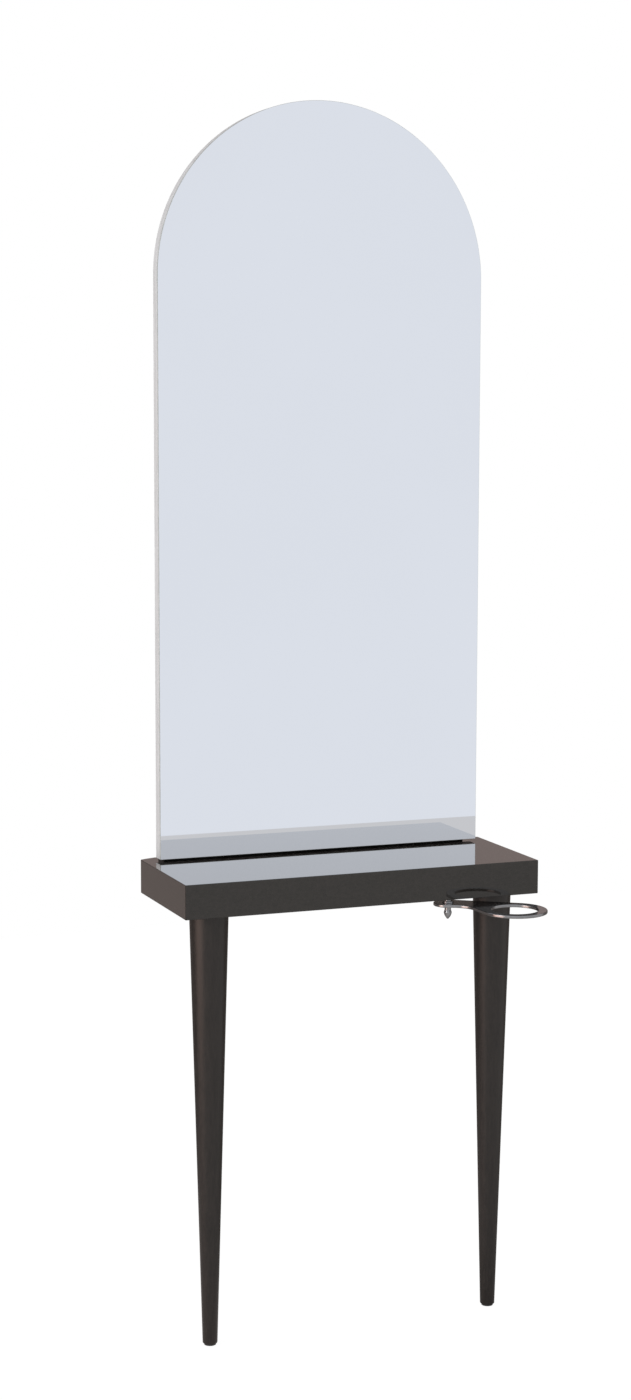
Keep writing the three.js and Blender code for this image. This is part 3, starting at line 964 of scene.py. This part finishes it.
def collar_solid(node):
    low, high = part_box(node)
    rim = half_width(node)
    rim_top = high.z - COLLAR_HUB_HEIGHT
    outside = [
        (stud_bore, low.z),
        (rim, low.z),
        (rim, rim_top),
        (COLLAR_HUB_RADIUS, rim_top),
        (COLLAR_HUB_RADIUS, high.z),
        (stud_bore, high.z),
    ]
    return lathe(eased(outside, SMALL_EASE), ring=True)


def washer_solid(node):
    low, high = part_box(node)
    rim = half_width(node)
    outside = [(stud_bore, low.z), (rim, low.z), (rim, high.z), (stud_bore, high.z)]
    return lathe(eased(outside, WASHER_EASE), ring=True)


def finial_solid(node):
    low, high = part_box(node)
    shoulder = half_width(node)
    neck_low = high.z - FINIAL_NECK_LENGTH
    widest = neck_low - FINIAL_SHOULDER_HEIGHT
    cone = []
    for step in range(CONE_STEPS + 1):
        share = step / CONE_STEPS
        straight = FINIAL_TIP_RADIUS + (shoulder - FINIAL_TIP_RADIUS) * share
        bulge = FINIAL_CONE_BULGE * math.sin(math.pi * share)
        cone.append((straight + bulge, low.z + (widest - low.z) * share))
    neck = [
        *cone[-2:],
        (FINIAL_NECK_RADIUS, neck_low),
        (FINIAL_NECK_RADIUS, high.z),
        (stud_bore, high.z),
    ]
    profile = [
        *eased([(0, low.z), *cone[:2]], SMALL_EASE)[:-1],
        *cone[1:-2],
        *eased(neck, SMALL_EASE),
        (stud_bore, high.z - FINIAL_BORE_DEPTH),
        (0, high.z - FINIAL_BORE_DEPTH),
    ]
    return lathe(profile)


def stud_solid(node):
    low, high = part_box(node)
    profile = [(0, low.z), (STUD_RADIUS, low.z), (STUD_RADIUS, high.z), (0, high.z)]
    return lathe(eased(profile, SMALL_EASE))


arm_place = Matrix.Translation((pivot.x, pivot.y, arm_high.z)) @ turn_about("Z", ARM_REST_ANGLE)
piece("tool_ring_arm", moved(arm_solid(), arm_place), [LIT_CHROME_FACE, SHADED_CHROME], "holder_arm", body="holder")
# the chrome pivot parts take the darkened chrome, a painted shade
for part, make, material in (
    ("collar", collar_solid, SHADED_CHROME),
    ("washer", washer_solid, NYLON),
    ("finial", finial_solid, SHADED_CHROME),
    ("stud", stud_solid, SHADED_CHROME),
):
    node = "holder_" + part
    piece("pivot_" + part, moved(make(node), over(pivot)), [material], node)


# Screws

for node in [*LEDGER_SCREWS, *SHELF_SCREWS]:
    cross_screw(node, UP)
for side in SIDES:
    for level in SCREW_LEVELS:
        cross_screw(f"board_screw_{side}_{level}", FORWARD)


# Nodes that show as they are

NODE_FINISHES = {
    "shelf_centre_rib": TIMBER["y"],
    "mirror_safety_film": SAFETY_FILM,
    "mirror_board": FIBREBOARD,
    "holder_block": TIMBER["x"],
    "holder_insert": ZINC,
}
for side in SIDES:
    NODE_FINISHES[f"{side}_leg_block"] = TIMBER["x"]
    NODE_FINISHES[f"{side}_hanger_bolt"] = ZINC
    NODE_FINISHES[f"{side}_leg_insert"] = ZINC
    for level in DOWEL_LEVELS:
        NODE_FINISHES[f"frame_{side}_{level}_dowel"] = TIMBER["z" if level == "foot" else "x"]
for node, material in NODE_FINISHES.items():
    data = frame["nodes"][node].data
    data.materials.clear()
    data.materials.append(material)


# Floor, world, light and camera

def lit_floor():
    """White to the camera but for shadows; in reflections it glows with painted tones, with painted
    shade behind and a painted warm light to the left.
    """
    material = bpy.data.materials.new("pale_floor")
    tree = new_tree(material)
    seen, glossy = ray_kinds(tree)
    share = combined(tree, "MULTIPLY", combined(tree, "MAXIMUM", seen, glossy), FLOOR_WHITE_SHARE)
    place = coordinates(tree, "Object")
    rearward = ramp(tree, place["Y"], *FLOOR_REAR_RANGE)
    leftward = ramp(tree, place["X"], *FLOOR_PAINTED_GLOW_X_RANGE, to_low=1.0, to_high=0.0)
    beside = ramp(tree, place["Y"], *FLOOR_PAINTED_GLOW_Y_RANGE, to_low=1.0, to_high=0.0)
    # painted light: the share of the warm glow to the left, seen only in reflections
    painted_glow_share = combined(tree, "MULTIPLY", leftward, beside)
    # painted shade behind, lifted by the painted warm glow to the left
    rear = blend_colour(tree, painted_glow_share, FLOOR_REAR_PAINTED_SHADE, FLOOR_LEFT_PAINTED_GLOW)
    mirrored = blend_colour(tree, rearward, FLOOR_FRONT_LOOK, rear)
    look = blend_colour(tree, glossy, WHITE, mirrored)
    strength = ramp(tree, glossy, 0.0, 1.0, FLOOR_WHITE_STRENGTH, 1.0)
    diffuse = add(tree, "BsdfDiffuse", {"Color": FLOOR_COLOUR}).outputs[0]
    emission = add(tree, "Emission", {"Color": look, "Strength": strength}).outputs[0]
    add(tree, "OutputMaterial", {"Surface": blend_shader(tree, share, diffuse, emission)})
    return material


def studio():
    """Soft light all round, white to the camera, and with the room's tones in reflections."""
    world = bpy.data.worlds.new("studio")
    tree = new_tree(world)
    heading = coordinates(tree, "Generated")
    behind = ramp(tree, heading["Y"], *BEHIND_RANGE)
    raised = ramp(tree, heading["Z"], *RAISED_RANGE)
    rightward = ramp(tree, heading["X"], *RIGHTWARD_RANGE)
    back_low = blend_colour(tree, rightward, BACK_LEFT_GLOW, BACK_RIGHT_GLOW)
    back = blend_colour(tree, raised, back_low, BACK_HIGH_GLOW)
    glow = blend_colour(tree, behind, FRONT_GLOW, back)
    seen, glossy = ray_kinds(tree)
    soft, mirrored, plain = (
        add(tree, "Background", {"Color": colour}).outputs[0] for colour in (SOFT_LIGHT, glow, WHITE)
    )
    unseen = blend_shader(tree, glossy, soft, mirrored)
    add(tree, "OutputWorld", {"Surface": blend_shader(tree, seen, unseen, plain)})
    return world


def panel_light(name, place, aim, size, power, colour=WHITE):
    lamp = bpy.data.lights.new(name, "AREA")
    lamp.shape = "RECTANGLE"
    lamp.size, lamp.size_y = size
    lamp.energy = power
    lamp.color = colour
    made = bpy.data.objects.new(name, lamp)
    made.location = place
    made.rotation_euler = (Vector(aim) - Vector(place)).to_track_quat("-Z", "Y").to_euler()
    bpy.context.scene.collection.objects.link(made)
    return made


corners = rectangle(-FLOOR_HALF_WIDTH, FLOOR_FRONT, FLOOR_HALF_WIDTH, FLOOR_BACK)
ground = bmesh.new()
ground.faces.new([ground.verts.new((x, y, 0)) for x, y in corners])
floor = to_object("floor", ground)
floor.data.materials.append(lit_floor())

bpy.context.scene.world = studio()
panel_light("key", KEY_PLACE, KEY_AIM, KEY_SIZE, KEY_POWER)
sheen = panel_light("sheen", SHEEN_PLACE, SHEEN_AIM, SHEEN_SIZE, SHEEN_POWER, SHEEN_COLOUR)
sheen.visible_diffuse = False

lens = bpy.data.cameras.new("camera")
lens.sensor_fit = "VERTICAL"
lens.sensor_height = CAMERA_SENSOR
lens.lens = CAMERA_LENS
camera = bpy.data.objects.new("camera", lens)
camera.matrix_world = (
    Matrix.Translation(CAMERA_PLACE)
    @ turn_about("Z", math.radians(-CAMERA_YAW))
    @ turn_about("X", QUARTER_TURN - math.radians(CAMERA_PITCH))
    @ turn_about("Z", math.radians(CAMERA_ROLL))
)
bpy.context.scene.collection.objects.link(camera)
bpy.context.scene.camera = camera
bpy.context.scene.view_settings.view_transform = "Standard"
